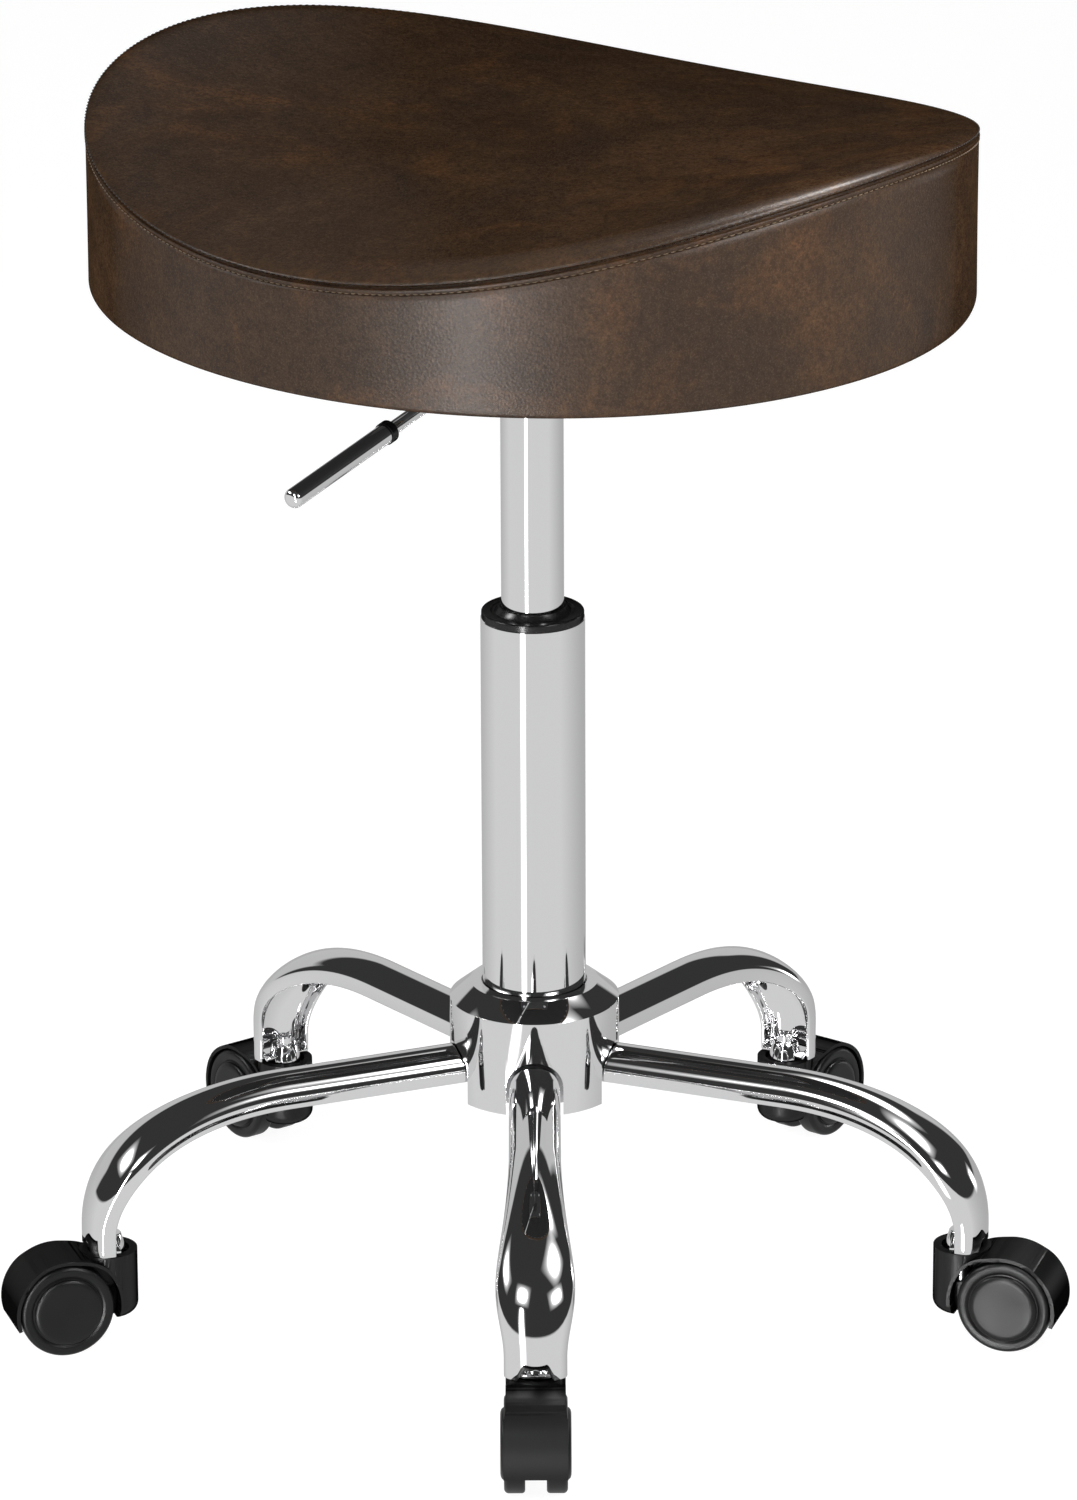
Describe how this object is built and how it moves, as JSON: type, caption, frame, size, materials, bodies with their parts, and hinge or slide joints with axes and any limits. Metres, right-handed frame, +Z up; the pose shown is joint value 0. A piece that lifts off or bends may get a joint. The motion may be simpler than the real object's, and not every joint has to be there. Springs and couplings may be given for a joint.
{
  "type": "salon stool",
  "caption": "Round saddle-shaped upholstered stool on a gas lift, with a five-arm chrome base, hooded twin-wheel casters and a side lever.",
  "frame": {"origin": "on the floor under the column's axis, with all ten wheels standing on z = 0", "axes": "+Z up along the column, -Y towards the front arm, +X to the right as seen from the front"},
  "size_m": [0.515, 0.4898, 0.6038],
  "materials": {
    "chrome": "mirror-bright chrome plate",
    "steel": "bright zinc-plated steel",
    "caster_black": "fine-textured moulded nylon",
    "wheel_black": "satin faces with glossy rounded edges",
    "bush_black": "smooth acetal",
    "rubber": "dull",
    "plate_black": "black powder coat",
    "plywood": "sanded birch plywood",
    "foam": "open-cell foam",
    "brown_leather": "waxy distressed pull-up leather, semi-gloss",
    "dust_cloth": "black non-woven cloth"
  },
  "bodies": {
    "base": {"hub_cover": "chrome", "hub_socket": "steel", "arm_front": "chrome", "arm_right": "chrome", "arm_rear_right": "chrome", "arm_rear_left": "chrome", "arm_left": "chrome", "bush_front": "chrome", "bush_right": "chrome", "bush_rear_right": "chrome", "bush_rear_left": "chrome", "bush_left": "chrome", "caster_stems": "steel", "column_tube": "chrome", "column_washer": "steel", "guide_bush": "bush_black", "thrust_bearing": "steel"},
    "lift_rod": {"piston_rod": "steel", "piston": "bush_black", "rod_clip": "steel", "rubber_buffer": "rubber"},
    "seat": {"pressure_tube": "chrome", "tube_gland": "bush_black", "seat_plate": "plate_black", "plate_screws": "steel", "tee_nuts": "steel", "lever_pin": "steel", "seat_board": "plywood", "seat_foam": "foam", "top_panel": "brown_leather", "side_band": "brown_leather", "welt": "brown_leather", "dust_cloth": "dust_cloth", "staples": "steel"},
    "valve": {"valve_button": "steel"},
    "lever": {"lever_rod": "chrome", "lever_grip": "chrome", "grip_ferrule": "bush_black"},
    "caster_front": {"hood_front": "caster_black", "axle_front": "steel"},
    "wheel_front_a": {"wheel_front_a": "wheel_black"},
    "wheel_front_b": {"wheel_front_b": "wheel_black"},
    "caster_right": {"hood_right": "caster_black", "axle_right": "steel"},
    "wheel_right_a": {"wheel_right_a": "wheel_black"},
    "wheel_right_b": {"wheel_right_b": "wheel_black"},
    "caster_rear_right": {"hood_rear_right": "caster_black", "axle_rear_right": "steel"},
    "wheel_rear_right_a": {"wheel_rear_right_a": "wheel_black"},
    "wheel_rear_right_b": {"wheel_rear_right_b": "wheel_black"},
    "caster_rear_left": {"hood_rear_left": "caster_black", "axle_rear_left": "steel"},
    "wheel_rear_left_a": {"wheel_rear_left_a": "wheel_black"},
    "wheel_rear_left_b": {"wheel_rear_left_b": "wheel_black"},
    "caster_left": {"hood_left": "caster_black", "axle_left": "steel"},
    "wheel_left_a": {"wheel_left_a": "wheel_black"},
    "wheel_left_b": {"wheel_left_b": "wheel_black"}
  },
  "joints": [
    {"name": "seat_swivel", "type": "hinge", "parent": "base", "child": "lift_rod", "pos_m": [0, 0, 0.11], "axis": [0, 0, 1], "continuous": true},
    {"name": "gas_lift", "type": "slide", "parent": "lift_rod", "child": "seat", "axis": [0, 0, 1], "range_m": [-0.11, 0]},
    {"name": "lever_lift", "type": "hinge", "parent": "seat", "child": "lever", "pos_m": [-0.01721, -0.02457, 0.48233], "axis": [-0.8192, 0.5736, 0], "range_deg": [0, 5], "stiffness_Nm_per_rad": 2, "springref_deg": -17.19},
    {"name": "valve_press", "type": "slide", "parent": "seat", "child": "valve", "axis": [0, 0, -1], "range_m": [0, 0.0023]},
    {"name": "caster_front_swivel", "type": "hinge", "parent": "base", "child": "caster_front", "pos_m": [0, -0.216, 0.04], "axis": [0, 0, 1], "continuous": true},
    {"name": "wheel_front_a_spin", "type": "hinge", "parent": "caster_front", "child": "wheel_front_a", "pos_m": [0, -0.2403, 0.023], "axis": [1, 0, 0], "continuous": true},
    {"name": "wheel_front_b_spin", "type": "hinge", "parent": "caster_front", "child": "wheel_front_b", "pos_m": [0, -0.2403, 0.023], "axis": [1, 0, 0], "continuous": true},
    {"name": "caster_right_swivel", "type": "hinge", "parent": "base", "child": "caster_right", "pos_m": [0.20543, -0.06675, 0.04], "axis": [0, 0, 1], "continuous": true},
    {"name": "wheel_right_a_spin", "type": "hinge", "parent": "caster_right", "child": "wheel_right_a", "pos_m": [0.22854, -0.07426, 0.023], "axis": [0.309, 0.9511, 0], "continuous": true},
    {"name": "wheel_right_b_spin", "type": "hinge", "parent": "caster_right", "child": "wheel_right_b", "pos_m": [0.22854, -0.07426, 0.023], "axis": [0.309, 0.9511, 0], "continuous": true},
    {"name": "caster_rear_right_swivel", "type": "hinge", "parent": "base", "child": "caster_rear_right", "pos_m": [0.12696, 0.17475, 0.04], "axis": [0, 0, 1], "continuous": true},
    {"name": "wheel_rear_right_a_spin", "type": "hinge", "parent": "caster_rear_right", "child": "wheel_rear_right_a", "pos_m": [0.14125, 0.19441, 0.023], "axis": [-0.809, 0.5878, 0], "continuous": true},
    {"name": "wheel_rear_right_b_spin", "type": "hinge", "parent": "caster_rear_right", "child": "wheel_rear_right_b", "pos_m": [0.14125, 0.19441, 0.023], "axis": [-0.809, 0.5878, 0], "continuous": true},
    {"name": "caster_rear_left_swivel", "type": "hinge", "parent": "base", "child": "caster_rear_left", "pos_m": [-0.12696, 0.17475, 0.04], "axis": [0, 0, 1], "continuous": true},
    {"name": "wheel_rear_left_a_spin", "type": "hinge", "parent": "caster_rear_left", "child": "wheel_rear_left_a", "pos_m": [-0.14125, 0.19441, 0.023], "axis": [-0.809, -0.5878, 0], "continuous": true},
    {"name": "wheel_rear_left_b_spin", "type": "hinge", "parent": "caster_rear_left", "child": "wheel_rear_left_b", "pos_m": [-0.14125, 0.19441, 0.023], "axis": [-0.809, -0.5878, 0], "continuous": true},
    {"name": "caster_left_swivel", "type": "hinge", "parent": "base", "child": "caster_left", "pos_m": [-0.20543, -0.06675, 0.04], "axis": [0, 0, 1], "continuous": true},
    {"name": "wheel_left_a_spin", "type": "hinge", "parent": "caster_left", "child": "wheel_left_a", "pos_m": [-0.22854, -0.07426, 0.023], "axis": [0.309, -0.9511, 0], "continuous": true},
    {"name": "wheel_left_b_spin", "type": "hinge", "parent": "caster_left", "child": "wheel_left_b", "pos_m": [-0.22854, -0.07426, 0.023], "axis": [0.309, -0.9511, 0], "continuous": true}
  ],
  "couplings": [
    {"joint": "valve_press", "follows": "lever_lift", "m_per_rad": 0.026}
  ]
}
